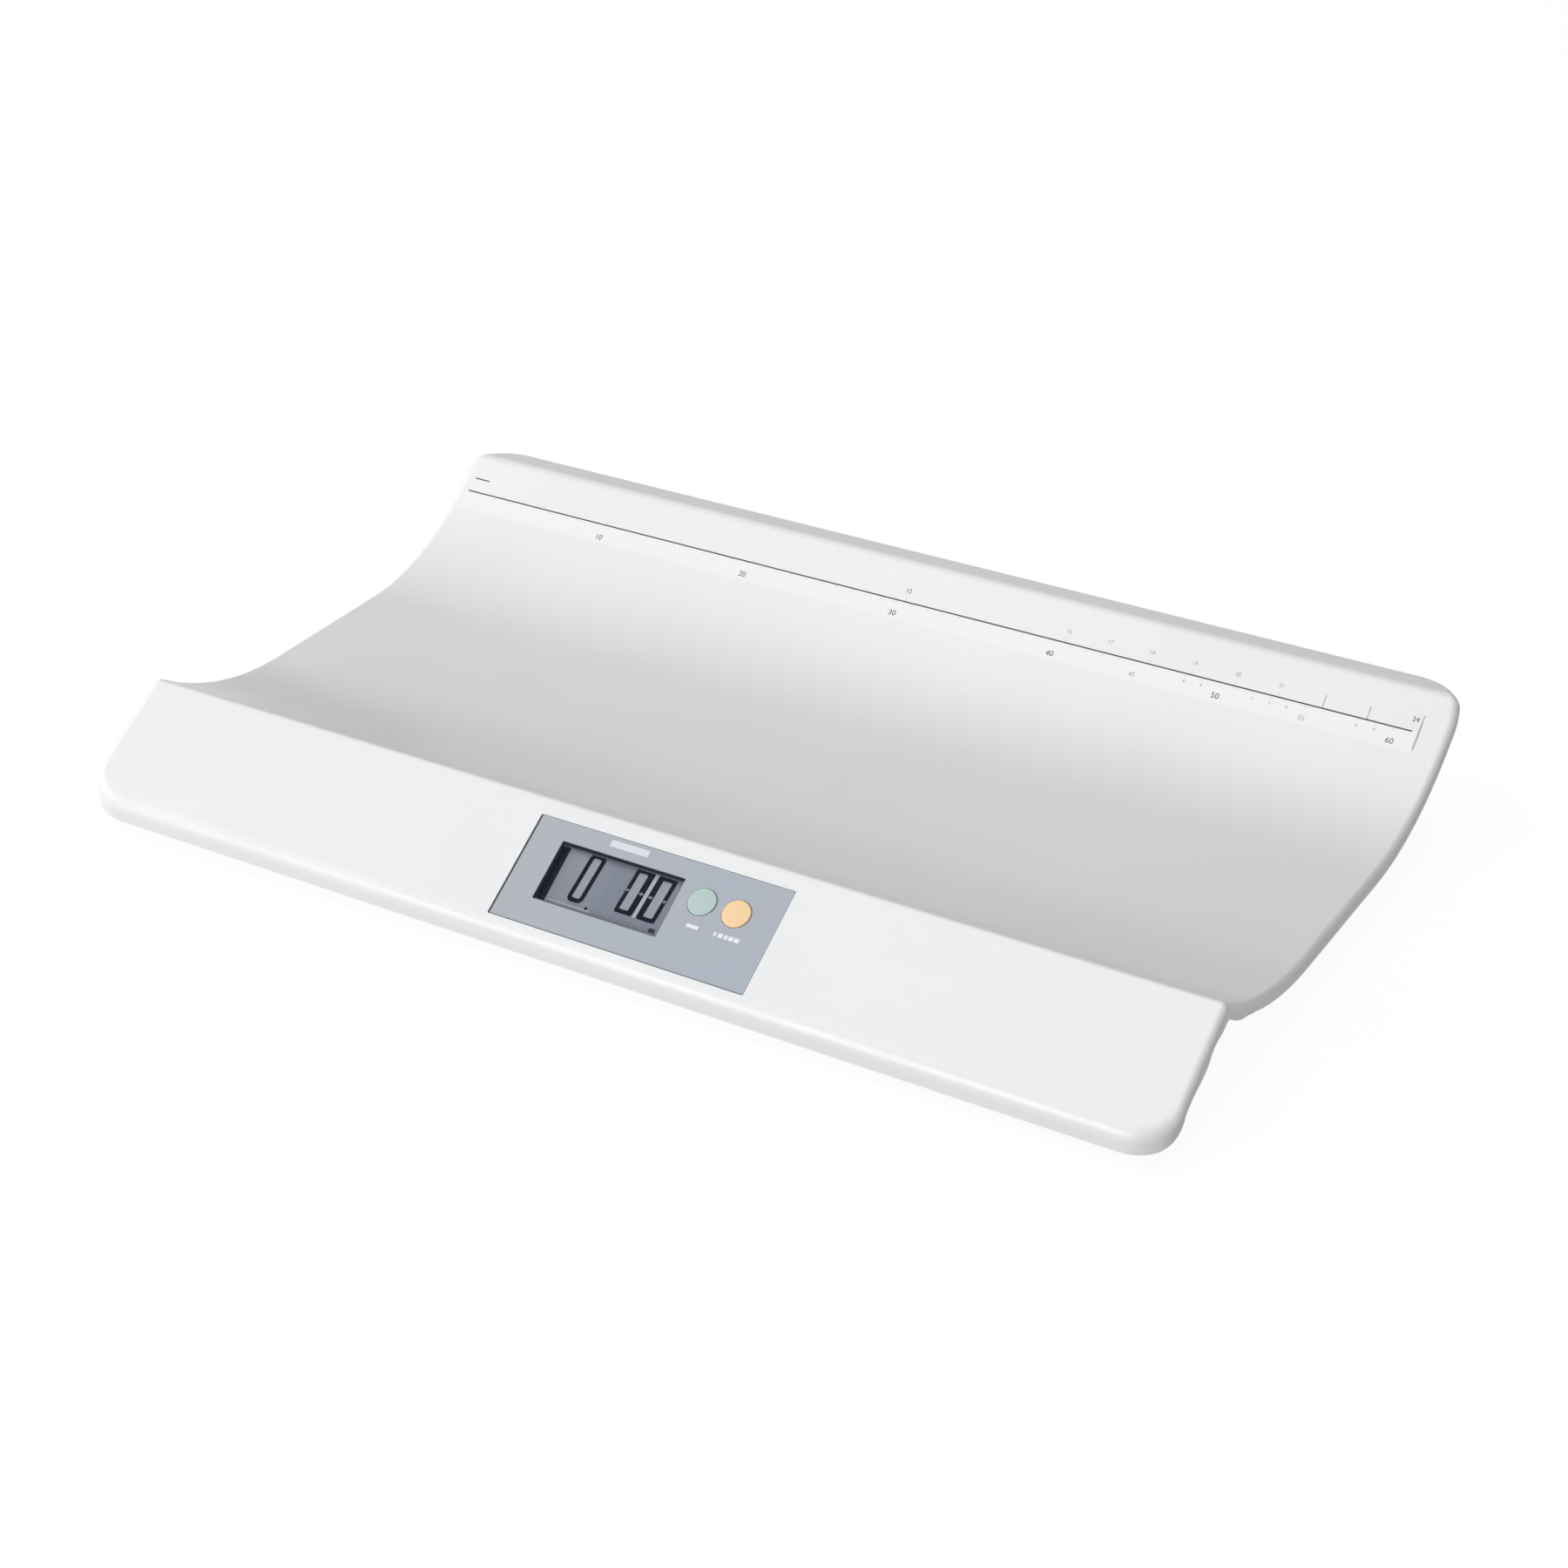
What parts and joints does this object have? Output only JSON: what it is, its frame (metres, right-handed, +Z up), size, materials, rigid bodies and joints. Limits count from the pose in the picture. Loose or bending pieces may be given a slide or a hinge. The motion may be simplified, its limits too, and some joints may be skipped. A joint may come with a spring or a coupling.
{
  "type": "baby scale",
  "caption": "Electronic baby scale: curved tray with a sloping front apron that holds a display and push buttons, on a low housing with load-cell feet.",
  "frame": {"origin": "centre of the bounding box at the underside of the foot pads, on the table", "axes": "+X to the right along the tray as its user reads the display, +Y from the apron to the raised back wall, +Z up"},
  "size_m": [0.6398, 0.384, 0.0805],
  "materials": {
    "white_plastic": "satin white moulded shell",
    "base_plastic": "off-white moulded shell",
    "panel_grey": "satin grey plate",
    "clear_plastic": "clear acrylic plate",
    "dark_plastic": "black plastic",
    "display_glass": "grey liquid-crystal cell",
    "black_rubber": "soft black rubber",
    "bright_steel": "plated steel",
    "pale_plastic": "natural plastic",
    "board_green": "circuit board laminate",
    "cell_wrap": "printed wrap over a metal can",
    "button_green": "pale green plastic",
    "button_orange": "pale orange plastic",
    "red_lead": "red insulation",
    "black_lead": "black insulation",
    "white_lead": "pale insulation"
  },
  "bodies": {
    "housing": {"tray_shell": "white_plastic", "base_shell": "base_plastic", "foot_cup_front_left": "base_plastic", "foot_cup_front_right": "base_plastic", "foot_cup_back_left": "base_plastic", "foot_cup_back_right": "base_plastic", "foot_pad_front_left": "black_rubber", "load_cell_front_left": "bright_steel", "cell_lead_front_left": "white_lead", "foot_pad_front_right": "black_rubber", "load_cell_front_right": "bright_steel", "cell_lead_front_right": "white_lead", "foot_pad_back_left": "black_rubber", "load_cell_back_left": "bright_steel", "cell_lead_back_left": "white_lead", "foot_pad_back_right": "black_rubber", "load_cell_back_right": "bright_steel", "cell_lead_back_right": "white_lead", "battery_lead_minus": "black_lead", "battery_lead_plus": "red_lead", "shell_screw_1": "bright_steel", "shell_screw_2": "bright_steel", "shell_screw_3": "bright_steel", "shell_screw_4": "bright_steel", "shell_screw_5": "bright_steel", "shell_screw_6": "bright_steel", "board_screw_1": "bright_steel", "battery_cell_1": "cell_wrap", "contact_spring_1": "bright_steel", "board_screw_2": "bright_steel", "battery_cell_2": "cell_wrap", "contact_spring_2": "bright_steel", "board_screw_3": "bright_steel", "battery_cell_3": "cell_wrap", "contact_spring_3": "bright_steel", "board_screw_4": "bright_steel", "battery_cell_4": "cell_wrap", "contact_spring_4": "bright_steel", "contact_left_front": "bright_steel", "contact_left_back": "bright_steel", "contact_right_front": "bright_steel", "contact_right_middle": "bright_steel", "contact_right_back": "bright_steel", "control_panel": "panel_grey", "display_window": "clear_plastic", "lcd_bezel": "dark_plastic", "green_switch": "dark_plastic", "orange_switch": "dark_plastic", "controller_chip": "dark_plastic", "lcd_glass": "display_glass", "elastomer_strip_front": "black_rubber", "elastomer_strip_back": "black_rubber", "circuit_board": "board_green", "lead_header": "pale_plastic"},
    "green_button": {"green_button": "button_green"},
    "orange_button": {"orange_button": "button_orange"},
    "battery_door": {"battery_door": "base_plastic"}
  },
  "joints": [
    {"name": "green_button_press", "type": "slide", "parent": "housing", "child": "green_button", "axis": [0, 0.5299, -0.848], "range_m": [0, 0.0006], "stiffness_N_per_m": 400},
    {"name": "orange_button_press", "type": "slide", "parent": "housing", "child": "orange_button", "axis": [0, 0.5299, -0.848], "range_m": [0, 0.0006], "stiffness_N_per_m": 400},
    {"name": "battery_door_hinge", "type": "hinge", "parent": "housing", "child": "battery_door", "pos_m": [0, 0.0318, 0.0071], "axis": [1, 0, 0], "range_deg": [0, 90]}
  ]
}
